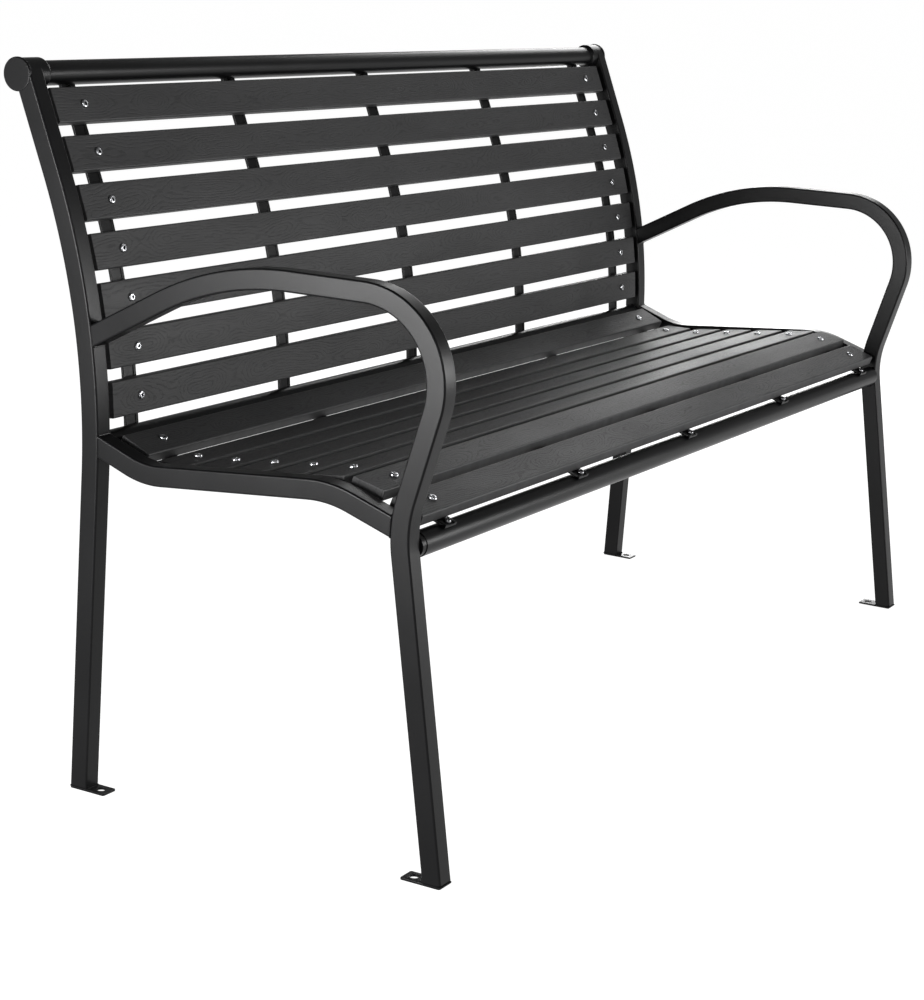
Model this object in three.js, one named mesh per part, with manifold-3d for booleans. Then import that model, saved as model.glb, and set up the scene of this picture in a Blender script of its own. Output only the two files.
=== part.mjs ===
// Garden bench: two welded side frames of bent square tube, joined by three round rails.
// Straps between the rails carry seven back slats and eight seat slats.
// Millimetres, +X along the bench, +Y to the rear, +Z up, origin on the floor under its middle.
import * as THREE from "three";
import { mergeVertices } from "three/addons/utils/BufferGeometryUtils.js";
import Module from "manifold-3d";

const wasm = await Module();
wasm.setup();

// ---- Driving dimensions ------------------------------------------------------------------
const WIDTH = 1500; // over the two side frames
const TUBE = 25; // square tube of the side frames
const FIT = 0.3; // gap left at every joint
const CHORD_ERROR = 0.15; // how far an arc's straight steps may leave it

const FOOT = { thickness: 3, corner: 2, hole: 5.5 };
const FRONT_FOOT = { from: -323, to: -270, holeY: -282 };
const REAR_FOOT = { from: 157, to: 209, holeY: 170 };

const BACK_TILT = THREE.MathUtils.degToRad(22); // back leans this far from upright
const POST_BEND = new THREE.Vector2(183, 585);
const POST_FOOT_Y = 196.5;
const POST_RADIUS = 900;
const POST_RISE = 304.5; // from the bend to the level of the top rail
const TOP_RAIL_SETBACK = 6.8; // top rail axis behind the post's own axis

const LEG_FOOT_Y = -311.7;
const LEG_BEND = new THREE.Vector2(-244.2, 410.4);
const ARM_NOSE = new THREE.Vector2(-315.6, 665.5);
const ARM_BEND = new THREE.Vector2(7, 665.5);
const ARM_END = new THREE.Vector2(190, 567);
const ARM_RADII = [150, 98, 377];

const SEAT_RAIL = [
  new THREE.Vector2(186, 441),
  new THREE.Vector2(107.8, 412.5),
  new THREE.Vector2(-151.7, 436.6),
  new THREE.Vector2(-243, 407),
];
const SEAT_RAIL_RADII = [111, 145];

const RAIL = { radius: 15, wall: 1.5 }; // top and front rails
const REAR_RAIL = { radius: 12.5, wall: 1.5, centre: new THREE.Vector2(187.1, 437.5) };
const SPIGOT = { radius: 13.2, length: 36 };
const BOSS = { disc: 20.2, discWidth: 3, barrel: 19, barrelEnd: 38, neck: 16, neckEnd: 44 };
const COLLAR_WIDTH = 8;

const SLAT = { width: 44, thickness: 14.5, edge: 2, endGap: 9 };
const BACK_SLATS = 7;
const BACK_PITCH = 59.5;
const BACK_FACE = 7.8; // slat faces in front of the post's axis
const FIRST_BACK_SLAT = 43.5; // its middle below the top rail's axis
const BACK_FACE_BEND = new THREE.Vector2(190.2, 623.7);
const BACK_FACE_LOWER_TILT = THREE.MathUtils.degToRad(4.5);
const BACK_FACE_RADIUS = 910;

const SEAT_SLATS = 8;
const SEAT_PITCH = 55.5;
const FIRST_SEAT_SLAT = 40; // its middle along the seat line
const SEAT_LINE = [
  new THREE.Vector2(180.5, 455.3),
  new THREE.Vector2(111, 424.3),
  new THREE.Vector2(65, 424.9),
  new THREE.Vector2(-172.4, 450.7),
  new THREE.Vector2(-276, 412.4),
];
const SEAT_LINE_RADII = [15, 90, 120];

const STRAP = { width: 25, thickness: 4, columns: 5, spacing: 331 };
const TAB = { width: 20, thickness: 3, length: 27 };
const TOP_BOLT = { head: 2.8, height: 2.2, shank: 1.8, length: 9, drop: 18.2 };
const FRONT_BOLT = { head: 4.6, height: 3, shank: 2.8, length: 12, ahead: 27.5, strapEnd: 6.5 };
const COLLAR_BOLT = { head: 3.8, height: 2.6, shank: 2.5, length: 9 };

// ---- Materials ---------------------------------------------------------------------------
const steel = new THREE.MeshStandardMaterial({ color: 0x26272a, roughness: 0.45, metalness: 0.4 });
const slatFinish = new THREE.MeshStandardMaterial({ color: 0x434446, roughness: 0.72, metalness: 0 });
const zinc = new THREE.MeshStandardMaterial({ color: 0xb9bcc0, roughness: 0.3, metalness: 1 });

// ---- Lines in the side view, where x is the bench's Y and y its Z ---------------------------
const leftOf = (direction) => new THREE.Vector2(-direction.y, direction.x);

// Samples along a line bent at its inner corners, each bend an arc of its own radius.
function bentLine(corners, radii) {
  const heading = (i) => corners[i + 1].clone().sub(corners[i]).normalize();
  const samples = [{ point: corners[0].clone(), direction: heading(0) }];
  for (let i = 1; i < corners.length - 1; i++) {
    const into = heading(i - 1);
    const turn = Math.atan2(into.cross(heading(i)), into.dot(heading(i)));
    const side = Math.sign(turn) * radii[i - 1];
    const start = corners[i].clone().addScaledVector(into, -Math.abs(side * Math.tan(turn / 2)));
    const centre = start.clone().addScaledVector(leftOf(into), side);
    const step = 2 * Math.acos(1 - CHORD_ERROR / Math.abs(side));
    const steps = Math.max(3, Math.ceil(Math.abs(turn) / step));
    for (let k = 0; k <= steps; k++) {
      const direction = into.clone().rotateAround(new THREE.Vector2(), (turn * k) / steps);
      const point = centre.clone().addScaledVector(leftOf(direction), -side);
      samples.push({ point, direction });
    }
  }
  const last = corners.length - 1;
  samples.push({ point: corners[last].clone(), direction: heading(last - 1) });
  return samples;
}

// The place at a distance along a sampled line.
function along(samples, distance) {
  let left = distance;
  for (let i = 1; i < samples.length; i++) {
    const from = samples[i - 1];
    const step = samples[i].point.distanceTo(from.point);
    if (left <= step || i === samples.length - 1) {
      const t = left / step;
      return {
        point: from.point.clone().lerp(samples[i].point, t),
        direction: from.direction.clone().lerp(samples[i].direction, t).normalize(),
      };
    }
    left -= step;
  }
}

// Outline of a strip that follows a line between two offsets, positive to its left.
function strip(samples, left, right) {
  const edge = (offset) =>
    samples.map(({ point, direction }) => point.clone().addScaledVector(leftOf(direction), offset));
  return new THREE.Shape([...edge(left), ...edge(right).reverse()]);
}

const tubeOutline = (samples, grow = 0) => strip(samples, TUBE / 2 + grow, -TUBE / 2 - grow);

// ---- Solids ------------------------------------------------------------------------------
const SIDE_VIEW = new THREE.Matrix4().makeBasis(
  new THREE.Vector3(0, 1, 0),
  new THREE.Vector3(0, 0, 1),
  new THREE.Vector3(1, 0, 0),
);

// A side-view outline pushed along X over a width about the middle x.
function pressed(shape, width, x = 0) {
  const geometry = new THREE.ExtrudeGeometry(shape, { depth: width, bevelEnabled: false });
  return geometry.translate(0, 0, x - width / 2).applyMatrix4(SIDE_VIEW);
}

// A round bar or tube turned about an axis from a base point, from [radius, height] pairs.
function turned(profile, base, axis, segments = 24) {
  const points = profile.map(([radius, height]) => new THREE.Vector2(radius, height));
  const spin = new THREE.Quaternion().setFromUnitVectors(new THREE.Vector3(0, 1, 0), axis);
  return new THREE.LatheGeometry(points, segments).applyQuaternion(spin).translate(...base);
}

const rod = (radius, from, to, base, axis) =>
  turned([[0, from], [radius, from], [radius, to], [0, to]], base, axis, 16);

function toManifold(geometry) {
  const bare = new THREE.BufferGeometry();
  bare.setAttribute("position", geometry.getAttribute("position"));
  bare.setIndex(geometry.getIndex());
  const merged = mergeVertices(bare, 1e-3);
  const triVerts = [];
  const index = merged.getIndex().array;
  for (let i = 0; i < index.length; i += 3) {
    const [a, b, c] = index.slice(i, i + 3);
    if (a !== b && b !== c && c !== a) triVerts.push(a, b, c);
  }
  const vertProperties = new Float32Array(merged.getAttribute("position").array);
  const mesh = new wasm.Mesh({ numProp: 3, vertProperties, triVerts: new Uint32Array(triVerts) });
  return new wasm.Manifold(mesh);
}

function toGeometry(manifold) {
  const mesh = manifold.getMesh();
  const geometry = new THREE.BufferGeometry();
  geometry.setAttribute("position", new THREE.BufferAttribute(mesh.vertProperties, mesh.numProp));
  geometry.setIndex(new THREE.BufferAttribute(mesh.triVerts, 1));
  return geometry;
}

const carve = (geometry, ...tools) =>
  toGeometry(tools.reduce((body, tool) => body.subtract(toManifold(tool)), toManifold(geometry)));

const at = (x, place) => new THREE.Vector3(x, place.x, place.y);
const sideways = (direction) => new THREE.Vector3(0, direction.x, direction.y);
const ALONG_X = new THREE.Vector3(1, 0, 0);

// ---- Lines of the frame --------------------------------------------------------------------
const FRAME_X = (WIDTH - TUBE) / 2;
const FOOT_TOP = FOOT.thickness + FIT;
const BELOW = -10; // the legs' lines run on below the floor and are cut level above the plates
const up = new THREE.Vector2(Math.sin(BACK_TILT), Math.cos(BACK_TILT)); // along the upper back
const forward = leftOf(up);

const postTop = POST_BEND.clone().addScaledVector(up, POST_RISE);
const topRail = postTop.clone().addScaledVector(forward, -TOP_RAIL_SETBACK);
const postLine = bentLine(
  [new THREE.Vector2(POST_FOOT_Y, BELOW), POST_BEND, postTop],
  [POST_RADIUS],
);
const legLine = bentLine(
  [new THREE.Vector2(LEG_FOOT_Y, BELOW), LEG_BEND, ARM_NOSE, ARM_BEND, ARM_END],
  ARM_RADII,
);
const seatRailLine = bentLine(SEAT_RAIL, SEAT_RAIL_RADII);

// Line of the back slats' faces, from level with the top rail down to the rear rail.
const backFaceTop = postTop.clone().addScaledVector(forward, BACK_FACE);
const backFaceFoot = BACK_FACE_BEND.clone().sub(
  new THREE.Vector2(Math.sin(BACK_FACE_LOWER_TILT), Math.cos(BACK_FACE_LOWER_TILT))
    .multiplyScalar(186),
);
const backLine = bentLine([backFaceTop, BACK_FACE_BEND, backFaceFoot], [BACK_FACE_RADIUS]);
const seatLine = bentLine(SEAT_LINE, SEAT_LINE_RADII);

const STRAP_FACE = SLAT.thickness + FIT; // strap surface behind or below the slats' faces
const STRAP_BACK = STRAP_FACE + STRAP.thickness;

const bench = new THREE.Group();

function addPart(name, geometry, material) {
  const mesh = new THREE.Mesh(geometry, material);
  mesh.name = name;
  bench.add(mesh);
}

// ---- Side frames ---------------------------------------------------------------------------
// Profile of the cast end of the back post: a rimmed disc, a barrel and a spigot for the rail.
function bossProfile(grow = 0) {
  const { disc, discWidth, barrel, barrelEnd, neck, neckEnd } = BOSS;
  return [
    [0, -grow],
    [disc - 1 + grow, -grow],
    [disc + grow, 1],
    [disc + grow, discWidth - 0.5 + grow],
    [barrel + grow, discWidth + grow],
    [barrel + grow, barrelEnd],
    [barrel - 1 + grow, barrelEnd + 3],
    [neck + 1.4 + grow, barrelEnd + 5.2],
    [neck + grow, neckEnd],
    [SPIGOT.radius + grow, neckEnd],
    [SPIGOT.radius + grow, neckEnd + SPIGOT.length],
    [0, neckEnd + SPIGOT.length],
  ];
}

function collarProfile() {
  return [
    [0, 0],
    [RAIL.radius, 0],
    [RAIL.radius, COLLAR_WIDTH],
    [SPIGOT.radius, COLLAR_WIDTH],
    [SPIGOT.radius, COLLAR_WIDTH + SPIGOT.length],
    [0, COLLAR_WIDTH + SPIGOT.length],
  ];
}

// Button-head bolt with a hexagon socket; its seat is at the base point.
function bolt({ head, height, shank, length }, base, axis) {
  const body = turned(
    [
      [0, -length],
      [shank, -length],
      [shank, 0],
      [head, 0],
      [head, height * 0.3],
      [head * 0.86, height * 0.72],
      [head * 0.6, height],
      [0, height],
    ],
    base,
    axis,
    12,
  );
  const depth = height * 0.45;
  const socket = turned(
    [[0, depth], [head * 0.42, depth], [head * 0.42, height + 1], [0, height + 1]],
    base,
    axis,
    6,
  );
  return carve(body, socket);
}

function footPlate({ from, to, holeY }, x) {
  const r = FOOT.corner;
  const half = TUBE / 2;
  const plate = new THREE.Shape();
  plate.moveTo(-half + r, from);
  plate.lineTo(half - r, from);
  plate.absarc(half - r, from + r, r, -Math.PI / 2, 0);
  plate.absarc(half - r, to - r, r, 0, Math.PI / 2);
  plate.absarc(-half + r, to - r, r, Math.PI / 2, Math.PI);
  plate.absarc(-half + r, from + r, r, Math.PI, Math.PI * 1.5);
  plate.holes.push(new THREE.Path().absarc(0, holeY, FOOT.hole, 0, Math.PI * 2, true));
  const options = { depth: FOOT.thickness, bevelEnabled: false, curveSegments: 4 };
  return new THREE.ExtrudeGeometry(plate, options).translate(x, 0, 0);
}

const frontRail = along(seatLine, frontBoltDistance()).point;
frontRail.addScaledVector(seatDown(frontBoltDistance()), STRAP_BACK + FIT + RAIL.radius);

// The front bolts sit just ahead of the last seat slat, over the front rail.
function frontBoltDistance() {
  return FIRST_SEAT_SLAT + (SEAT_SLATS - 1) * SEAT_PITCH + FRONT_BOLT.ahead;
}

// Direction from the seat's surface down to the straps at a distance along the seat line.
function seatDown(distance) {
  return leftOf(along(seatLine, distance).direction);
}

const underfoot = new THREE.BoxGeometry(2 * WIDTH, 2 * WIDTH, 100);
underfoot.translate(0, 0, FOOT_TOP - 50);

for (const [label, side] of [["left", -1], ["right", 1]]) {
  const x = side * FRAME_X;
  const inward = new THREE.Vector3(-side, 0, 0);
  const bossBase = at((side * WIDTH) / 2, topRail);
  const postTool = pressed(tubeOutline(postLine, FIT), TUBE + 2, x);
  const legTool = pressed(tubeOutline(legLine, FIT), TUBE + 2, x);
  const post = pressed(tubeOutline(postLine), TUBE, x);
  const bossTool = turned(bossProfile(FIT), bossBase, inward);
  addPart(`${label}_back_post`, carve(post, bossTool, underfoot), steel);
  addPart(`${label}_top_boss`, turned(bossProfile(), bossBase, inward, 28), steel);
  const arm = pressed(tubeOutline(legLine), TUBE, x);
  addPart(`${label}_front_leg_armrest`, carve(arm, postTool, underfoot), steel);
  const seatRail = pressed(tubeOutline(seatRailLine), TUBE, x);
  addPart(`${label}_seat_side_rail`, carve(seatRail, postTool, legTool), steel);
  addPart(`${label}_front_foot_plate`, footPlate(FRONT_FOOT, x), steel);
  addPart(`${label}_rear_foot_plate`, footPlate(REAR_FOOT, x), steel);

  const collarBase = at(side * (WIDTH / 2 - TUBE - FIT), frontRail);
  const boltAxis = new THREE.Vector3(0, 0, -1);
  const seat = collarBase.clone().addScaledVector(inward, COLLAR_WIDTH / 2);
  seat.addScaledVector(boltAxis, RAIL.radius + FIT);
  const collarHole = rod(COLLAR_BOLT.shank + FIT, -COLLAR_BOLT.length - 1, 5, seat, boltAxis);
  const collar = turned(collarProfile(), collarBase, inward);
  addPart(`${label}_front_collar`, carve(collar, collarHole), steel);
  addPart(`${label}_front_collar_bolt`, bolt(COLLAR_BOLT, seat, boltAxis), steel);
}

// ---- Cross rails and the straps between them -------------------------------------------------
// Round tube of a given half length, centred on X.
function roundRail({ radius, wall }, half, centre) {
  const profile = [
    [radius - wall, -half],
    [radius, -half],
    [radius, half],
    [radius - wall, half],
    [radius - wall, -half],
  ];
  return turned(profile, at(0, centre), ALONG_X, 24);
}

const columns = Array.from({ length: STRAP.columns }, (_, i) => ({
  number: i + 1,
  x: (i - (STRAP.columns - 1) / 2) * STRAP.spacing,
}));

const down = up.clone().negate();
const topBoltSeat = backFaceTop.clone().addScaledVector(down, TOP_BOLT.drop);
topBoltSeat.addScaledVector(forward, -STRAP_FACE + FIT);
const topBoltAxis = sideways(forward);

// Side view of the tabs welded under the top rail, which the back straps are bolted to.
const tabFoot = topRail.clone().addScaledVector(down, TAB.length);
const tabOffset = BACK_FACE + TOP_RAIL_SETBACK - STRAP_BACK - FIT;
const tabShape = strip(bentLine([topRail, tabFoot], []), -tabOffset, -tabOffset + TAB.thickness);

const frontPlace = along(seatLine, frontBoltDistance());
const seatUp = seatDown(frontBoltDistance()).negate();
const frontBoltSeat = frontPlace.point.clone().addScaledVector(seatUp, -STRAP_FACE + FIT);
const frontBoltAxis = sideways(seatUp);

function frontRailWithHoles() {
  const half = WIDTH / 2 - TUBE - COLLAR_WIDTH - 2 * FIT;
  const holes = columns.map(({ x }) =>
    rod(FRONT_BOLT.shank + FIT, -15, 1, at(x, frontBoltSeat), frontBoltAxis),
  );
  return carve(roundRail(RAIL, half, frontRail), ...holes);
}

addPart("top_rail", roundRail(RAIL, WIDTH / 2 - BOSS.neckEnd - FIT, topRail), steel);
addPart("front_rail", frontRailWithHoles(), steel);
const rearHalf = WIDTH / 2 - TUBE - FIT;
addPart("rear_rail", roundRail(REAR_RAIL, rearHalf, REAR_RAIL.centre), steel);

const reach = (rail, x, centre) =>
  rod(rail.radius + FIT, x - STRAP.width, x + STRAP.width, at(0, centre), ALONG_X);

const seatStrapLine = seatLine.slice(0, -1);
seatStrapLine.push(along(seatLine, frontBoltDistance() + FRONT_BOLT.strapEnd));

for (const { number, x } of columns) {
  const topTool = reach(RAIL, x, topRail);
  const rearTool = reach(REAR_RAIL, x, REAR_RAIL.centre);
  const boltTool = rod(TOP_BOLT.shank + FIT, -20, 5, at(x, topBoltSeat), topBoltAxis);
  const tab = carve(pressed(tabShape, TAB.width, x), topTool, boltTool);
  addPart(`top_rail_tab_${number}`, tab, steel);
  const backStrap = carve(
    pressed(strip(backLine, STRAP_BACK, STRAP_FACE), STRAP.width, x),
    topTool,
    rearTool,
    boltTool,
  );
  addPart(`back_strap_${number}`, backStrap, steel);
  addPart(`back_strap_bolt_${number}`, bolt(TOP_BOLT, at(x, topBoltSeat), topBoltAxis), steel);
  const seatStrap = carve(
    pressed(strip(seatStrapLine, STRAP_BACK, STRAP_FACE), STRAP.width, x),
    rearTool,
    rod(FRONT_BOLT.shank + FIT, -10, 5, at(x, frontBoltSeat), frontBoltAxis),
  );
  addPart(`seat_strap_${number}`, seatStrap, steel);
  addPart(`seat_strap_bolt_${number}`, bolt(FRONT_BOLT, at(x, frontBoltSeat), frontBoltAxis), zinc);
}

// ---- Slats ---------------------------------------------------------------------------------
// Slat cross-section with its face on the line and its body on the straps' side.
function slatShape({ point, direction }) {
  const { width, thickness, edge } = SLAT;
  const centres = [
    [width / 2 - edge, thickness - edge],
    [edge - width / 2, thickness - edge],
    [edge - width / 2, edge],
    [width / 2 - edge, edge],
  ];
  const heading = Math.atan2(direction.y, direction.x);
  const origin = new THREE.Vector2();
  const outline = centres.flatMap(([x, y], quarter) =>
    [0, 1, 2, 3].map((k) => {
      const angle = (quarter * Math.PI) / 2 + (k * Math.PI) / 6;
      const corner = new THREE.Vector2(x + edge * Math.cos(angle), y + edge * Math.sin(angle));
      return corner.rotateAround(origin, heading).add(point);
    }),
  );
  return new THREE.Shape(outline);
}

const slatLength = WIDTH - 2 * (TUBE + SLAT.endGap);

function addSlats(name, count, line, first, pitch) {
  for (let i = 0; i < count; i++) {
    const shape = slatShape(along(line, first + i * pitch));
    addPart(`${name}_${i + 1}`, pressed(shape, slatLength), slatFinish);
  }
}

addSlats("back_slat", BACK_SLATS, backLine, FIRST_BACK_SLAT, BACK_PITCH);
addSlats("seat_slat", SEAT_SLATS, seatLine, FIRST_SEAT_SLAT, SEAT_PITCH);

// The bench's depth, from the front feet to the rear of the top discs, is centred on Y = 0.
bench.position.y = -(FRONT_FOOT.from + topRail.x + BOSS.disc) / 2;

export default bench;
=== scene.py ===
"""Garden bench: the visual model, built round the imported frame.

Sizes are in millimetres until a mesh is made.
"""
import math
import random

import bpy
import numpy as np
from mathutils import Matrix, Vector

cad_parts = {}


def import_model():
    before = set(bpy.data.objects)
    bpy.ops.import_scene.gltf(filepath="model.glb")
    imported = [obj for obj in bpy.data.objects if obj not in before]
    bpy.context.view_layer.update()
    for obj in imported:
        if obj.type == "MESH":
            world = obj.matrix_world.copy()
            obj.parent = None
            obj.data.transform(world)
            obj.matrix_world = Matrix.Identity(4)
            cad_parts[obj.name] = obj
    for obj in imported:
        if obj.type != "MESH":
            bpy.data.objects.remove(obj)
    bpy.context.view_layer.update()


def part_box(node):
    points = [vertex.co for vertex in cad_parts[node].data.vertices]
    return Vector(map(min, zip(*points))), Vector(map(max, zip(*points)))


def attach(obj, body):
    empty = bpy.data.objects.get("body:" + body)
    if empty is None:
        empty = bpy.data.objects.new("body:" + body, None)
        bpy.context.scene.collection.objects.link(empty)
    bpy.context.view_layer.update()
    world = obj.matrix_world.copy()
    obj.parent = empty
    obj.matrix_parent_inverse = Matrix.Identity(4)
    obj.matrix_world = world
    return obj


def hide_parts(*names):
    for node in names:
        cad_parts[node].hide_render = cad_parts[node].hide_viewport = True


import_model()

MM = 0.001
scene = bpy.context.scene

# ---- Driving dimensions, close to the CAD source's -----------------------------------------
WIDTH = 1500
TUBE = 25
TUBE_CORNER = 2.6
POST_RISE = 304.5
TOP_RAIL_SETBACK = 6.8
BACK_FACE = 7.8
FRONT_FOOT = (-323, -270, -282)
REAR_FOOT = (157, 209, 170)
FOOT_THICKNESS = 3
FOOT_CORNER = 2.5
FOOT_HOLE = 5.5
BACK_TILT = math.radians(22)
LOWER_BACK_TILT = math.radians(4.5)
LOWER_BACK_LENGTH = 186
SLAT_WIDTH, SLAT_THICKNESS, SLAT_EDGE = 44, 14.5, 2.2
SLAT_END_GAP = 9
SCREW_X = 662
STRAP_WIDTH, STRAP_THICKNESS = 25, 4
FIT = 0.3
STRAP_FACE = SLAT_THICKNESS + FIT
STRAP_BACK = STRAP_FACE + STRAP_THICKNESS
RAIL_RADIUS, REAR_RAIL_RADIUS, RAIL_WALL = 15, 12.5, 1.5
REAR_RAIL = np.array([187.1, 437.5])
BOSS_BARREL_END = 39
BOSS_PROUD = 0.7
COLLAR_RADIUS, COLLAR_LENGTH = 14, 7.6
FRONT_RAIL_INSET = 8
COLUMNS = [(i - 2) * 331 for i in range(5)]
BACK_PLACES = [43.5 + 59.5 * i for i in range(7)]
SEAT_PLACES = [40 + 55.5 * i for i in range(8)]
FRONT_BOLT_PLACE = SEAT_PLACES[-1] + 27.5
STRAP_PAST_BOLT = 6.5
BACK_STRAP_START = 9
TOP_BOLT_DROP = 18.2
BOLT_SINK = 0.2
CHORD_ERROR = 0.02
SHARP_ANGLE = math.radians(35)

# The CAD source centres the depth on Y = 0; its front feet show by how much it moved.
SHIFT_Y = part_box("left_front_foot_plate")[0][1] / MM - FRONT_FOOT[0]


def pair(y, z):
    return np.array([float(y), float(z)])


def unit(v):
    return np.asarray(v, float) / np.linalg.norm(v)


def left_of(d):
    return np.array([-d[1], d[0]])


def turned_by(v, angle):
    c, s = math.cos(angle), math.sin(angle)
    return np.array([c * v[0] - s * v[1], s * v[0] + c * v[1]])


def bent_line(corners, radii):
    """Samples (point, direction) along a side-view line bent at its inner corners."""
    corners = [np.asarray(c, float) for c in corners]
    samples = [(corners[0], unit(corners[1] - corners[0]))]
    for i, radius in enumerate(radii, 1):
        into, out = unit(corners[i] - corners[i - 1]), unit(corners[i + 1] - corners[i])
        turn = math.atan2(into[0] * out[1] - into[1] * out[0], into @ out)
        side = math.copysign(radius, turn)
        start = corners[i] - into * abs(side * math.tan(turn / 2))
        centre = start + left_of(into) * side
        steps = max(4, math.ceil(abs(turn) / (2 * math.acos(1 - CHORD_ERROR / radius))))
        for k in range(steps + 1):
            d = turned_by(into, turn * k / steps)
            samples.append((centre - left_of(d) * side, d))
    samples.append((corners[-1], unit(corners[-1] - corners[-2])))
    return samples


def along(samples, distance):
    for (a, da), (b, db) in zip(samples, samples[1:]):
        step = np.linalg.norm(b - a)
        if distance <= step or b is samples[-1][0]:
            t = distance / step
            return a + (b - a) * t, unit(da + (db - da) * t)
        distance -= step


up = np.array([math.sin(BACK_TILT), math.cos(BACK_TILT)])
forward = left_of(up)
post_bend = pair(183, 585)
post_top = post_bend + up * POST_RISE
top_rail = post_top - forward * TOP_RAIL_SETBACK
post_line = bent_line([(196.5, FOOT_THICKNESS), post_bend, post_top], [900])
leg_line = bent_line(
    [(-311.55, FOOT_THICKNESS), (-244.2, 410.4), (-315.6, 665.5), (7, 665.5), (186, 569.15)],
    [150, 98, 377],
)
seat_rail_line = bent_line(
    [(186, 441), (107.8, 412.5), (-151.7, 436.6), (-240.5, 407.8)], [111, 145]
)
back_face_top = post_top + forward * BACK_FACE
face_bend = pair(190.2, 623.7)
lower_up = pair(math.sin(LOWER_BACK_TILT), math.cos(LOWER_BACK_TILT))
back_line = bent_line([back_face_top, face_bend, face_bend - lower_up * LOWER_BACK_LENGTH], [910])
seat_line = bent_line(
    [(180.5, 455.3), (111, 424.3), (65, 424.9), (-172.4, 450.7), (-276, 412.4)], [15, 90, 120]
)
front_place, front_heading = along(seat_line, FRONT_BOLT_PLACE)
seat_down = left_of(front_heading)
front_rail = front_place + seat_down * (STRAP_BACK + FIT + RAIL_RADIUS)

# ---- Meshes --------------------------------------------------------------------------------


def world(x, place):
    """A point of the side view at x, in metres in the row frame."""
    return (x * MM, (place[0] + SHIFT_Y) * MM, place[1] * MM)


def add_piece(name, vertices, faces, material, slot, replaces=()):
    mesh = bpy.data.meshes.new(name)
    mesh.from_pydata([tuple(v) for v in vertices], [], faces)
    mesh.validate()
    mesh.update()
    mesh.shade_smooth()
    mesh.set_sharp_from_angle(angle=SHARP_ANGLE)
    piece = bpy.data.objects.new(name, mesh)
    scene.collection.objects.link(piece)
    mesh.materials.append(material)
    weights = piece.modifiers.new("weighted_normals", "WEIGHTED_NORMAL")
    weights.keep_sharp = True
    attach(piece, "root")
    if replaces:
        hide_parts(*replaces)
    return piece


def rounded(half_a, half_b, radius, arc=4):
    """Outline of a rounded rectangle, counter-clockwise."""
    outline = []
    for quarter, (sa, sb) in enumerate([(1, 1), (-1, 1), (-1, -1), (1, -1)]):
        for k in range(arc + 1):
            t = (quarter + k / arc) * math.pi / 2
            a = sa * (half_a - radius) + radius * math.cos(t)
            b = sb * (half_b - radius) + radius * math.sin(t)
            outline.append((a, b))
    return outline


def rings_to_faces(rings, count, closed=False):
    faces = []
    spans = rings if closed else rings - 1
    for i in range(spans):
        a, b = i * count, ((i + 1) % rings) * count
        for k in range(count):
            n = (k + 1) % count
            faces.append((a + k, a + n, b + n, b + k))
    return faces


def capped(rings, count):
    faces = rings_to_faces(rings, count)
    faces.append(tuple(reversed(range(count))))
    faces.append(tuple(range((rings - 1) * count, rings * count)))
    return faces


def cut_by(wall, point, direction):
    """Where a line along a direction meets a flat wall, given as a point on it and its direction."""
    facing = left_of(wall[1])
    return point + direction * (((wall[0] - point) @ facing) / (direction @ facing))


def swept(line, outline, x, first_wall=None, last_wall=None):
    """A section carried along a side-view line; its first axis is X, its second the line's left.
    The ends may be cut by the flat walls of other tubes."""
    walls = [first_wall] + [None] * (len(line) - 2) + [last_wall]
    vertices = []
    for (point, direction), wall in zip(line, walls):
        for a, b in outline:
            place = point + left_of(direction) * b
            vertices.append(world(x + a, place if wall is None else cut_by(wall, place, direction)))
    return vertices, [tuple(reversed(f)) for f in capped(len(line), len(outline))]


def turned(profile, base, axis, segments):
    """Turned solid from (radius, height) pairs in millimetres about an axis from a base in metres."""
    axis = Vector(axis).normalized()
    side = axis.orthogonal().normalized()
    other = axis.cross(side)
    vertices = []
    for radius, height in profile:
        for k in range(segments):
            t = 2 * math.pi * k / segments
            offset = side * (math.cos(t) * radius) + other * (math.sin(t) * radius)
            vertices.append(Vector(base) + (offset + axis * height) * MM)
    return vertices, capped(len(profile), segments)


def arc_points(centre, radius, start, end, steps=6):
    """Points of a (radius, height) profile round a corner, angles in degrees."""
    return [
        (
            centre[0] + radius * math.cos(math.radians(start + (end - start) * k / steps)),
            centre[1] + radius * math.sin(math.radians(start + (end - start) * k / steps)),
        )
        for k in range(steps + 1)
    ]


def merged(*solids):
    vertices, faces = [], []
    for v, f in solids:
        base = len(vertices)
        vertices += list(v)
        faces += [tuple(base + i for i in face) for face in f]
    return vertices, faces


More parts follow.
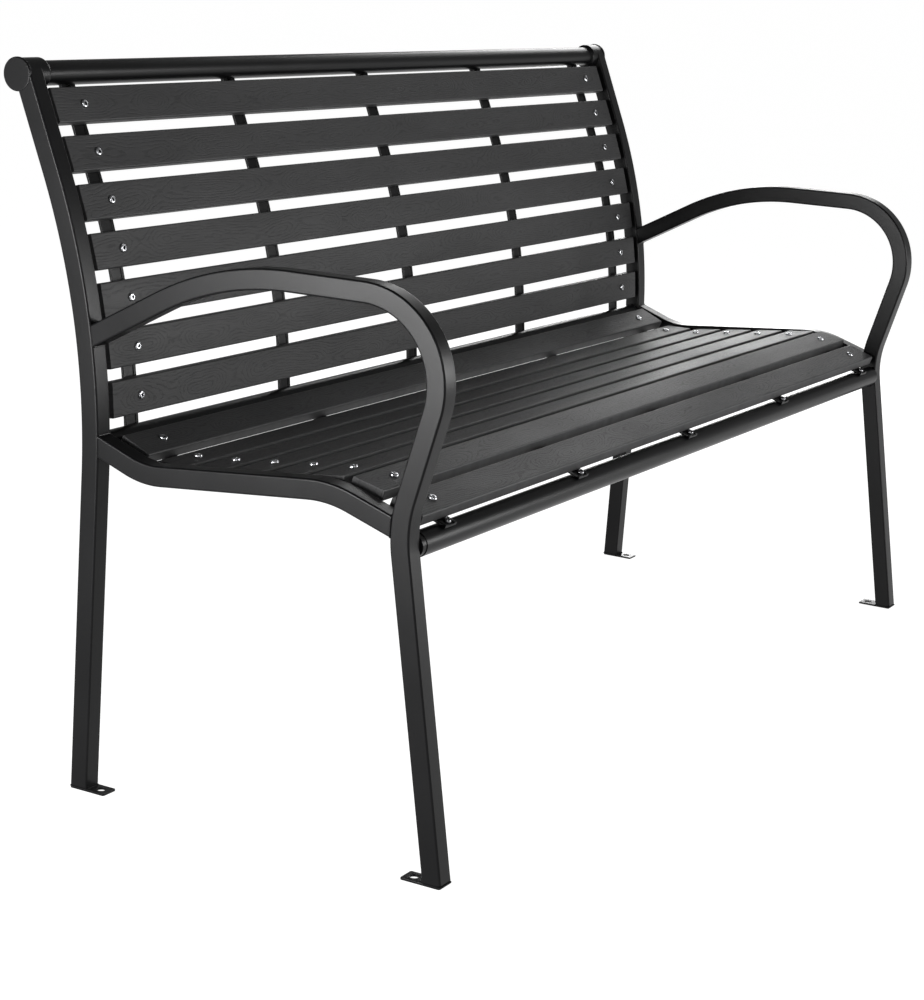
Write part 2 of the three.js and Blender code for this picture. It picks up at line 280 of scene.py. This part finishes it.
# ---- Materials -------------------------------------------------------------------------------
class Nodes:
    """Short names for building a material's nodes."""

    def __init__(self, name):
        self.material = bpy.data.materials.new(name)
        self.material.use_nodes = True
        self.tree = self.material.node_tree
        self.tree.nodes.clear()

    def node(self, kind, settings=(), **inputs):
        made = self.tree.nodes.new(kind)
        for key, value in dict(settings).items():
            setattr(made, key, value)
        for key, value in inputs.items():
            numbered = key[0] == "i" and key[1:].isdigit()
            socket = made.inputs[int(key[1:]) if numbered else key.replace("_", " ")]
            if isinstance(value, bpy.types.NodeSocket):
                self.tree.links.new(value, socket)
            else:
                socket.default_value = value
        return made

    def math(self, operation, a, b=0.0, c=0.0):
        return self.node("ShaderNodeMath", {"operation": operation}, i0=a, i1=b, i2=c).outputs[0]

    def noise(self, vector, scale, detail=2.0, roughness=0.5):
        made = self.node(
            "ShaderNodeTexNoise", Vector=vector, Scale=scale, Detail=detail, Roughness=roughness
        )
        return made.outputs["Fac"]

    def stretch(self, vector, scale):
        made = self.node("ShaderNodeVectorMath", {"operation": "MULTIPLY"}, i0=vector, i1=scale)
        return made.outputs[0]

    def span(self, value, low, high, new_low, new_high, smooth=False):
        settings = {"interpolation_type": "SMOOTHSTEP" if smooth else "LINEAR", "clamp": True}
        made = self.node(
            "ShaderNodeMapRange", settings, i0=value, i1=low, i2=high, i3=new_low, i4=new_high
        )
        return made.outputs[0]

    def ramp(self, value, *stops):
        made = self.node("ShaderNodeValToRGB", i0=value)
        elements = made.color_ramp.elements
        while len(elements) < len(stops):
            elements.new(0.5)
        for element, (position, level) in zip(elements, stops):
            element.position = position
            element.color = (*level, 1) if isinstance(level, tuple) else (level, level, level, 1)
        return made.outputs[0]

    def finish(self, bump, **inputs):
        shader = self.node("ShaderNodeBsdfPrincipled", **inputs)
        for height, strength, distance in bump:
            links = shader.inputs["Normal"].links
            normal = links[0].from_socket if links else None
            made = self.node("ShaderNodeBump", Strength=strength, Distance=distance, Height=height)
            if normal is not None:
                self.tree.links.new(normal, made.inputs["Normal"])
            self.tree.links.new(made.outputs[0], shader.inputs["Normal"])
        output = self.node("ShaderNodeOutputMaterial")
        self.tree.links.new(shader.outputs[0], output.inputs["Surface"])
        return self.material


def powder_coat():
    """Satin black powder coat: an orange-peel skin, faint cloudiness and a few dust specks."""
    n = Nodes("powder_coat")
    place = n.node("ShaderNodeTexCoord").outputs["Object"]
    peel = n.noise(place, 520, 3, 0.55)
    clouds = n.noise(place, 7, 3)
    dust = n.span(n.noise(place, 1500, 1), 0.68, 0.8, 0, 1)
    colour = n.ramp(n.math("ADD", n.math("MULTIPLY", clouds, 0.75), n.math("MULTIPLY", dust, 0.3)),
                    (0.2, (0.0019, 0.0019, 0.0021)), (0.75, (0.0031, 0.0031, 0.0033)), (1.0, 0.012))
    roughness = n.math("ADD", n.span(clouds, 0.3, 0.7, 0.27, 0.33), n.math("MULTIPLY", peel, 0.06))
    return n.finish([(peel, 0.16, 0.0004)], Base_Color=colour, Roughness=roughness, Specular_IOR_Level=0.1)


def composite():
    """Wood-plastic composite, embossed with wavy grain that opens into cathedral loops, with a painted
    highlight along its long edges.
    """
    ring_spacing = 0.0034
    face_end, face_gone = 0.0196, 0.0212
    n = Nodes("slat")
    place = n.node("ShaderNodeAttribute", {"attribute_name": "grain"}).outputs["Vector"]
    split = n.node("ShaderNodeSeparateXYZ", Vector=place)
    across = split.outputs["Y"]
    slow = n.noise(n.stretch(place, (3.2, 6.0, 1.0)), 1.0, 1.5)
    hill = n.noise(n.stretch(place, (7.5, 0.0, 1.0)), 1.0, 1.0)
    sway = n.noise(n.stretch(place, (26.0, 60.0, 1.0)), 1.0, 2.0)
    quiver = n.noise(n.stretch(place, (150.0, 260.0, 1.0)), 1.0, 2.0)
    reach = n.math("ABSOLUTE", across)
    centre = n.math("MULTIPLY_ADD", slow, 0.06, -0.03)
    offset = n.math("SUBTRACT", across, centre)
    depth = n.math("MULTIPLY_ADD", hill, 0.09, -0.045)
    squares = n.math("ADD", n.math("MULTIPLY", offset, offset), n.math("MULTIPLY", depth, depth))
    ring = n.math("SQRT", squares)
    ring = n.math("ADD", ring, n.math("MULTIPLY", sway, 0.0075))
    ring = n.math("ADD", ring, n.math("MULTIPLY", quiver, 0.0022))
    wave = n.math("SINE", n.math("MULTIPLY", ring, 2 * math.pi / ring_spacing))
    broken = n.span(n.noise(n.stretch(place, (55.0, 420.0, 1.0)), 1.0, 2.0), 0.34, 0.62, 0.15, 1.0)
    groove = n.math("MULTIPLY", n.span(wave, 0.1, 0.9, 0, 1, smooth=True), broken)
    on_face = n.span(reach, face_end, face_gone, 1, 0)
    groove = n.math("MULTIPLY", groove, on_face)
    fibre = n.noise(n.stretch(place, (60.0, 1900.0, 1.0)), 1.0, 2.0)
    blotch = n.noise(n.stretch(place, (5.0, 22.0, 1.0)), 1.0, 3.0)
    tone = n.math("ADD", n.math("MULTIPLY", blotch, 0.5), n.math("MULTIPLY", fibre, 0.45))
    tone = n.math("SUBTRACT", tone, n.math("MULTIPLY", groove, 0.22))
    # Painted highlight: a lighter, slightly glossier band along both long edges of each slat, standing in
    # for light caught by the rounded edges.
    highlight_band_in, highlight_band_out = n.span(reach, 0.0199, 0.0208, 0, 1), n.span(reach, 0.0214, 0.0219, 1, 0)
    painted_edge_highlight = n.math("MULTIPLY", highlight_band_in, highlight_band_out)
    tone = n.math("ADD", tone, n.math("MULTIPLY", painted_edge_highlight, 0.3))
    colour = n.ramp(tone, (0.0, (0.0062, 0.0062, 0.0064)), (0.42, (0.0156, 0.0156, 0.016)),
                    (0.8, (0.0245, 0.0245, 0.025)), (1.0, (0.05, 0.05, 0.051)))
    roughness = n.span(tone, 0.0, 0.6, 0.66, 0.52)
    speck = n.noise(place, 1300, 2)
    height = n.math("SUBTRACT", n.math("MULTIPLY", fibre, 0.7), groove)
    return n.finish([(height, 0.36, 0.0004), (speck, 0.08, 0.0002)], Base_Color=colour, Roughness=roughness,
                    Specular_IOR_Level=0.17)


def plated(name, dull, bright):
    """Zinc plating with fine turning marks and a slightly dulled patchiness."""
    n = Nodes(name)
    place = n.node("ShaderNodeTexCoord").outputs["Object"]
    fine = n.noise(place, 2600, 2)
    patch = n.noise(place, 240, 2)
    colour = n.ramp(patch, (0.25, dull), (0.75, bright))
    roughness = n.span(patch, 0.3, 0.7, 0.2, 0.34)
    return n.finish([(fine, 0.1, 0.0001)], Base_Color=colour, Roughness=roughness, Metallic=1.0)


coat, slat_skin = powder_coat(), composite()
zinc = plated("zinc", (0.34, 0.345, 0.36), (0.5, 0.505, 0.52))
black_zinc = plated("black_zinc", (0.1, 0.1, 0.105), (0.17, 0.17, 0.175))

# ---- Side frames ---------------------------------------------------------------------------
FRAME_X = (WIDTH - TUBE) / 2
ROUND_SIDES, BOSS_SIDES = 48, 64
tube_outline = rounded(TUBE / 2, TUBE / 2, TUBE_CORNER, 5)
BEAD_STEP, BEAD_SIDES = 0.9, 8
BEAD_SEAM = Vector((0.31, 0.52, 0.79))
TUBE_WELD, FOOT_WELD, RAIL_WELD = 1.1, 1.2, 1.5
WELD_INSET = 0.5
FOOT_WELD_INSET = 0.4


def bead(path, radius, seed):
    """A closed weld bead along points in metres, its radius rippling as each drop froze."""
    rng = random.Random(seed)
    path = [Vector(p) for p in path]
    lengths = [(path[(i + 1) % len(path)] - p).length for i, p in enumerate(path)]
    total = sum(lengths)
    steps = max(12, round(total / (BEAD_STEP * MM)))
    points = []
    for k in range(steps):
        d, i = total * k / steps, 0
        while i < len(lengths) - 1 and d > lengths[i]:
            d -= lengths[i]
            i += 1
        points.append(path[i].lerp(path[(i + 1) % len(path)], d / lengths[i]))
    vertices = []
    for i, p in enumerate(points):
        heading = (points[(i + 1) % len(points)] - points[i - 1]).normalized()
        side = (BEAD_SEAM - heading * BEAD_SEAM.dot(heading)).normalized()
        other = heading.cross(side)
        size = radius * (1 + 0.12 * math.sin(i * 2.1) + 0.1 * (rng.random() - 0.5))
        for k in range(BEAD_SIDES):
            t = 2 * math.pi * k / BEAD_SIDES
            vertices.append(p + (side * math.cos(t) + other * math.sin(t)) * (size * MM))
    return vertices, rings_to_faces(len(points), BEAD_SIDES, closed=True)


def cut_outline(x, point, direction, wall):
    """The outline of a square tube's end on the flat wall of another tube."""
    half = TUBE / 2 - WELD_INSET
    return [
        world(x + a, cut_by(wall, point + left_of(direction) * b, direction))
        for a, b in rounded(half, TUBE / 2, TUBE_CORNER, 3)
    ]


def wall_near(line, point, side):
    """The flat face of a tube that a second tube is welded to: a point on it, and its direction."""
    best = None
    for (a, da), (b, _) in zip(line, line[1:]):
        t = np.clip((point - a) @ (b - a) / ((b - a) @ (b - a)), 0, 1)
        q = a + (b - a) * t
        distance = np.linalg.norm(point - q)
        if best is None or distance < best[0]:
            best = (distance, q, unit(b - a))
    _, q, d = best
    return q + left_of(d) * side * TUBE / 2, d


def foot_plate(spec, x):
    """A plate with a round hole; spec holds the Y of its two ends and of the hole's centre."""
    start, end, hole_y = spec
    middle, half = (start + end) / 2, (end - start) / 2
    count = 48

    def ring(inset, z, points):
        return [(x + a, middle + b, z) for a, b in points(inset)]

    def outer(inset):
        return rounded(TUBE / 2 - inset, half - inset, FOOT_CORNER - inset, 11)

    def hole(inset):
        return [
            (
                (FOOT_HOLE + inset) * math.cos(2 * math.pi * (k + 0.5) / count),
                hole_y - middle + (FOOT_HOLE + inset) * math.sin(2 * math.pi * (k + 0.5) / count),
            )
            for k in range(count)
        ]

    t = FOOT_THICKNESS
    rim, rim_middle = 0.6, 0.18
    lip, lip_middle = 0.5, 0.15
    rings = [
        ring(rim, 0, outer), ring(rim_middle, rim_middle, outer), ring(0, rim, outer),
        ring(0, t - rim, outer), ring(rim_middle, t - rim_middle, outer), ring(rim, t, outer),
        ring(lip, t, hole), ring(lip_middle, t - lip_middle, hole), ring(0, t - lip, hole),
        ring(0, lip, hole), ring(lip_middle, lip_middle, hole), ring(lip, 0, hole),
    ]
    vertices = [world(px, (py, pz)) for r in rings for px, py, pz in r]
    return vertices, rings_to_faces(len(rings), count, closed=True)


# (radius, height) from the outer face: the disc, the barrel, its rounded end and its closed back.
boss_profile = [
    (0.01, 0), (15, 0), *arc_points((18.7, 1.5), 1.5, -90, 0, 5),
    *arc_points((19.4, 3.2), 0.8, 0, 90, 3), (19.1, 4.1), (19, 4.6), (19, 38),
    *arc_points((14.9, 38.1), 4.1, 0, 90, 8), (14.9, 42.4), (0.01, 42.4),
]
collar_profile = [(0.01, 0), (COLLAR_RADIUS, 0), (COLLAR_RADIUS, COLLAR_LENGTH), (0.01, COLLAR_LENGTH)]
COLLAR_SCREW_INSET, COLLAR_SCREW_DROP = 4, 14.9


# Head radius and height of each kind of screw.
COLLAR_SCREW, TOP_SCREW, FRONT_SCREW, SLAT_SCREW = (3.8, 2.6), (2.8, 2.2), (4.6, 3), (5.3, 2.7)


def button_head(head, height, base, axis):
    """A button-head screw with a hexagon socket. Sizes in millimetres, base in metres."""
    axis = Vector(axis).normalized()
    side = axis.orthogonal().normalized()
    other = axis.cross(side)
    count, rings = 36, []

    def circle(radius, z):
        rings.append([(radius, k, z) for k in range(count)])

    def hexagon(radius, z):
        ring = []
        for k in range(count):
            a = (360 * k / count) % 60 - 30
            ring.append((radius * math.cos(math.radians(30)) / math.cos(math.radians(a)), k, z))
        rings.append(ring)

    circle(0.01, -1.6)
    circle(head * 0.9, -1.6)
    circle(head * 0.97, 0)
    circle(head, height * 0.07)
    circle(head, height * 0.2)
    for k in range(1, 7):
        t = math.radians(15 * k - 3)
        circle(head * (0.6 + 0.4 * math.cos(t)), height * (0.2 + 0.8 * math.sin(t)))
    circle(head * 0.6, height)
    hexagon(head * 0.52, height)
    hexagon(head * 0.48, height - 0.15)
    hexagon(head * 0.48, -0.6)
    circle(0.01, -0.9)
    vertices = []
    for ring in rings:
        for radius, k, z in ring:
            t = 2 * math.pi * k / count
            around = (side * math.cos(t) + other * math.sin(t)) * radius * MM
            vertices.append(Vector(base) + around + axis * z * MM)
    return vertices, capped(len(rings), count)


def circle_path(x, centre, radius):
    turns = [2 * math.pi * k / ROUND_SIDES for k in range(ROUND_SIDES)]
    return [world(x, centre + pair(math.cos(t), math.sin(t)) * radius) for t in turns]


for label, side in (("left", -1), ("right", 1)):
    x = side * FRAME_X
    inner_x = side * (WIDTH / 2 - TUBE)
    inward = (-side, 0, 0)
    arm_wall = wall_near(post_line, leg_line[-1][0], 1)
    rear_wall = wall_near(post_line, seat_rail_line[0][0], 1)
    front_wall = wall_near(leg_line, seat_rail_line[-1][0], -1)
    post = swept(post_line, tube_outline, x)
    leg = swept(leg_line, tube_outline, x, None, arm_wall)
    rail = swept(seat_rail_line, tube_outline, x, rear_wall, front_wall)
    add_piece(f"{label}_back_post_tube", *post, coat, "powder_coat", [f"{label}_back_post"])
    add_piece(f"{label}_front_leg_and_armrest_tube", *leg, coat, "powder_coat",
              [f"{label}_front_leg_armrest"])
    add_piece(f"{label}_seat_side_rail_tube", *rail, coat, "powder_coat", [f"{label}_seat_side_rail"])
    for which, spec in (("front", FRONT_FOOT), ("rear", REAR_FOOT)):
        add_piece(f"{label}_{which}_foot", *foot_plate(spec, x), coat, "powder_coat",
                  [f"{label}_{which}_foot_plate"])
    boss_base = world(side * (WIDTH / 2 + BOSS_PROUD), top_rail)
    boss = turned(boss_profile, boss_base, inward, BOSS_SIDES)
    add_piece(f"{label}_top_boss_casting", *boss, coat, "powder_coat", [f"{label}_top_boss"])

    collar_base = world(inner_x, front_rail)
    collar = turned(collar_profile, collar_base, inward, ROUND_SIDES)
    add_piece(f"{label}_rail_collar", *collar, coat, "powder_coat", [f"{label}_front_collar"])
    seat = (Vector(collar_base) + Vector(inward) * COLLAR_SCREW_INSET * MM
            + Vector((0, 0, -COLLAR_SCREW_DROP * MM)))
    screw = button_head(*COLLAR_SCREW, seat, (0, 0, -1))
    add_piece(f"{label}_collar_screw", *screw, coat, "powder_coat", [f"{label}_front_collar_bolt"])

    welds = [
        bead(cut_outline(x, *leg_line[-1], arm_wall), TUBE_WELD, seed=1),
        bead(cut_outline(x, *seat_rail_line[0], rear_wall), TUBE_WELD, seed=2),
        bead(cut_outline(x, *seat_rail_line[-1], front_wall), TUBE_WELD, seed=3),
    ]
    for place in (post_line[0][0][0], leg_line[0][0][0]):
        foot = rounded(TUBE / 2 - FOOT_WELD_INSET, TUBE / 2, TUBE_CORNER, 3)
        outline = [world(x + a, (place + b, FOOT_THICKNESS)) for a, b in foot]
        welds.append(bead(outline, FOOT_WELD, seed=4))
    welds.append(bead(circle_path(inner_x, REAR_RAIL, REAR_RAIL_RADIUS), RAIL_WELD, seed=5))
    add_piece(f"{label}_welds", *merged(*welds), coat, "powder_coat")

# ---- Cross rails, straps and their bolts -----------------------------------------------------
RAIL_CHAMFER = 0.4


def round_tube(radius, half, centre):
    """A hollow rail along X, reaching the same distance to both sides of the middle."""
    bore, top = radius - RAIL_WALL, radius - RAIL_CHAMFER
    profile = [
        (bore, -half), (top, -half), (radius, -half + RAIL_CHAMFER),
        (radius, half - RAIL_CHAMFER), (top, half), (bore, half),
    ]
    vertices, _ = turned(profile, world(0, centre), (1, 0, 0), ROUND_SIDES)
    return vertices, rings_to_faces(len(profile), ROUND_SIDES, closed=True)


half_top = WIDTH / 2 - BOSS_BARREL_END
half_front = WIDTH / 2 - TUBE - FRONT_RAIL_INSET
half_rear = WIDTH / 2 - TUBE
for name, radius, half, centre in (
    ("top_rail", RAIL_RADIUS, half_top, top_rail),
    ("front_rail", RAIL_RADIUS, half_front, front_rail),
    ("rear_rail", REAR_RAIL_RADIUS, half_rear, REAR_RAIL),
):
    add_piece(f"{name}_tube", *round_tube(radius, half, centre), coat, "powder_coat", [name])

TAB_HALF_WIDTH, TAB_HALF_THICKNESS, TAB_START, TAB_END = 10, 1.5, 10, 27
tab_outline = rounded(TAB_HALF_WIDTH, TAB_HALF_THICKNESS, 0.5, 2)
tab_offset = BACK_FACE + TOP_RAIL_SETBACK - STRAP_BACK - FIT - TAB_HALF_THICKNESS
tab_line = [(top_rail - up * d + forward * tab_offset, -up) for d in (TAB_START, TAB_END)]

# The face towards the sitter has a shallow groove along it, put in after the outline's third corner.
STRAP_ARC = 3
GROOVE_FLOOR, GROOVE_TOP, GROOVE_DEPTH = 6.6, 7.6, 1.1
face = -STRAP_THICKNESS / 2
strap_outline = rounded(STRAP_WIDTH / 2, STRAP_THICKNESS / 2, 0.9, STRAP_ARC)
third_corner_end = 3 * (STRAP_ARC + 1)
strap_outline[third_corner_end:third_corner_end] = [
    (-GROOVE_TOP, face), (-GROOVE_FLOOR, face + GROOVE_DEPTH),
    (GROOVE_FLOOR, face + GROOVE_DEPTH), (GROOVE_TOP, face),
]


def offset_line(line, by):
    return [(p + left_of(d) * by, d) for p, d in line]


def until(line, distance):
    """The line cut off at a distance from its start."""
    end = along(line, distance)
    kept, run = [line[0]], 0
    for a, b in zip(line, line[1:]):
        run += np.linalg.norm(b[0] - a[0])
        if run >= distance:
            break
        kept.append(b)
    return kept + [end]


back_strap_line = [along(back_line, BACK_STRAP_START), *back_line[1:]]
seat_strap_line = until(seat_line, FRONT_BOLT_PLACE + STRAP_PAST_BOLT)
top_bolt_seat = back_face_top - up * TOP_BOLT_DROP - forward * (STRAP_FACE - BOLT_SINK)
front_bolt_seat = front_place + seat_down * (STRAP_FACE - BOLT_SINK)
middle = STRAP_FACE + STRAP_THICKNESS / 2

for number, x in enumerate(COLUMNS, 1):
    add_piece(f"top_rail_tab_bar_{number}", *swept(tab_line, tab_outline, x), coat, "powder_coat",
              [f"top_rail_tab_{number}"])
    back_strap = swept(offset_line(back_strap_line, middle), strap_outline, x)
    seat_strap = swept(offset_line(seat_strap_line, middle), strap_outline, x)
    add_piece(f"back_strap_bar_{number}", *back_strap, coat, "powder_coat", [f"back_strap_{number}"])
    add_piece(f"seat_strap_bar_{number}", *seat_strap, coat, "powder_coat", [f"seat_strap_{number}"])
    top_screw = button_head(*TOP_SCREW, world(x, top_bolt_seat), (0, *forward))
    front_screw = button_head(*FRONT_SCREW, world(x, front_bolt_seat), (0, *-seat_down))
    add_piece(f"back_strap_screw_{number}", *top_screw, coat, "powder_coat",
              [f"back_strap_bolt_{number}"])
    add_piece(f"seat_strap_screw_{number}", *front_screw, black_zinc, "zinc",
              [f"seat_strap_bolt_{number}"])

# ---- Slats and their screws ------------------------------------------------------------------
half_slat = WIDTH / 2 - TUBE - SLAT_END_GAP
SLAT_SPANS = 24
SEED_SHIFT = 3.17
SEAT_SEEDS = 10


def add_slat(name, line, distance, seed):
    """A board with eased ends and its two screws; the seed moves its grain to a place of its own."""
    point, direction = along(line, distance)
    inward = left_of(direction)
    stations = [(-half_slat, 1.0), (-half_slat + 0.3, 0.3), (-half_slat + 1, 0)]
    spans = range(1, SLAT_SPANS)
    stations += [(-half_slat + 1 + (2 * half_slat - 2) * k / SLAT_SPANS, 0) for k in spans]
    stations += [(half_slat - 1, 0), (half_slat - 0.3, 0.3), (half_slat, 1.0)]
    vertices, grain = [], []
    for x, inset in stations:
        outline = rounded(SLAT_WIDTH / 2 - inset, SLAT_THICKNESS / 2 - inset, SLAT_EDGE - inset, 4)
        for a, b in outline:
            vertices.append(world(x, point + direction * a + inward * (b + SLAT_THICKNESS / 2)))
            grain.append((x * MM, a * MM, seed * SEED_SHIFT + b * MM))
    count = len(outline)
    piece = add_piece(f"{name}_board", vertices, capped(len(stations), count), slat_skin, "slat", [name])
    attribute = piece.data.attributes.new("grain", "FLOAT_VECTOR", "POINT")
    attribute.data.foreach_set("vector", np.array(grain, "f").ravel())
    for label, x in (("left", -SCREW_X), ("right", SCREW_X)):
        screw = button_head(*SLAT_SCREW, world(x, point), (0, *-inward))
        add_piece(f"{name}_screw_{label}", *screw, zinc, "zinc")


for number, distance in enumerate(BACK_PLACES, 1):
    add_slat(f"back_slat_{number}", back_line, distance, number)
for number, distance in enumerate(SEAT_PLACES, 1):
    add_slat(f"seat_slat_{number}", seat_line, distance, number + SEAT_SEEDS)

# ---- Studio ------------------------------------------------------------------------------------
def studio_floor():
    n = Nodes("studio_floor")
    place = n.node("ShaderNodeTexCoord").outputs["Object"]
    tone = n.ramp(n.noise(place, 0.7, 2), (0.3, 0.197), (0.7, 0.203))
    material = n.finish([], Base_Color=tone, Roughness=0.9, Specular_IOR_Level=0.0,
                        Emission_Color=(1, 1, 1, 1), Emission_Strength=0.96)
    mesh = bpy.data.meshes.new("studio_floor")
    size = 150.0
    corners = [(-size, -size, 0), (size, -size, 0), (size, size, 0), (-size, size, 0)]
    mesh.from_pydata(corners, [], [(0, 1, 2, 3)])
    mesh.materials.append(material)
    floor = bpy.data.objects.new("studio_floor", mesh)
    scene.collection.objects.link(floor)


def softbox(name, place, aim, width, height, watts):
    data = bpy.data.lights.new(name, "AREA")
    data.shape, data.size, data.size_y, data.energy = "RECTANGLE", width, height, watts
    lamp = bpy.data.objects.new(name, data)
    lamp.location = place
    lamp.rotation_mode = "QUATERNION"
    lamp.rotation_quaternion = (Vector(aim) - Vector(place)).to_track_quat("-Z", "Y")
    lamp.visible_camera = False
    scene.collection.objects.link(lamp)


def sky(horizon, zenith):
    """A soft surround: brightest at the horizon, dimmer overhead."""
    world_data = bpy.data.worlds.new("studio")
    scene.world = world_data
    world_data.use_nodes = True
    tree = world_data.node_tree
    tree.nodes.clear()
    place = tree.nodes.new("ShaderNodeTexCoord")
    split = tree.nodes.new("ShaderNodeSeparateXYZ")
    ramp = tree.nodes.new("ShaderNodeMapRange")
    ramp.interpolation_type = "SMOOTHSTEP"
    ramp.inputs[1].default_value, ramp.inputs[2].default_value = 0.05, 0.95
    ramp.inputs[3].default_value, ramp.inputs[4].default_value = horizon, zenith
    background = tree.nodes.new("ShaderNodeBackground")
    output = tree.nodes.new("ShaderNodeOutputWorld")
    tree.links.new(place.outputs["Generated"], split.inputs[0])
    tree.links.new(split.outputs["Z"], ramp.inputs[0])
    tree.links.new(ramp.outputs[0], background.inputs["Strength"])
    tree.links.new(background.outputs[0], output.inputs[0])


studio_floor()
sky(horizon=0.5, zenith=0.12)
for name, place, aim, width, height, watts in (
    ("front_right_softbox", (1.3, -2.3, 0.85), (-0.8, -0.1, 0.6), 0.9, 0.9, 84),
    ("front_left_softbox", (-2.7, -2.7, 1.8), (-0.6, 0.0, 0.5), 0.8, 0.8, 26),
    ("left_softbox", (-2.6, 0.55, 0.64), (-0.75, -0.3, 0.58), 0.9, 0.75, 122),
    ("right_softbox", (2.9, 0.95, 0.58), (0.4, -0.05, 0.45), 0.9, 0.6, 20),
    ("high_right_softbox", (3.2, 0.9, 1.9), (0.0, -0.2, 0.45), 1.4, 0.8, 27),
):
    softbox(name, place, aim, width, height, watts)

# ---- Camera ------------------------------------------------------------------------------------
AZIMUTH, ELEVATION, ROLL = (math.radians(a) for a in (-60.71, 13.45, 3.11))
CAMERA_PLACE = (-2.8891, -1.525, 1.0415)
SENSOR_WIDTH, LENS = 36, 83.75
across = math.cos(ELEVATION)
back = Vector((math.sin(AZIMUTH) * across, -math.cos(AZIMUTH) * across, math.sin(ELEVATION)))
level = (-back).cross(Vector((0, 0, 1))).normalized()
upright = level.cross(-back)
right = level * math.cos(ROLL) + upright * math.sin(ROLL)
top = upright * math.cos(ROLL) - level * math.sin(ROLL)
lens = bpy.data.cameras.new("camera")
lens.sensor_width, lens.lens = SENSOR_WIDTH, LENS
lens.clip_end = 500
camera = bpy.data.objects.new("camera", lens)
turn = Matrix((right, top, back)).transposed().to_4x4()
camera.matrix_world = Matrix.Translation(CAMERA_PLACE) @ turn
scene.collection.objects.link(camera)
scene.camera = camera
scene.view_settings.view_transform = "Standard"
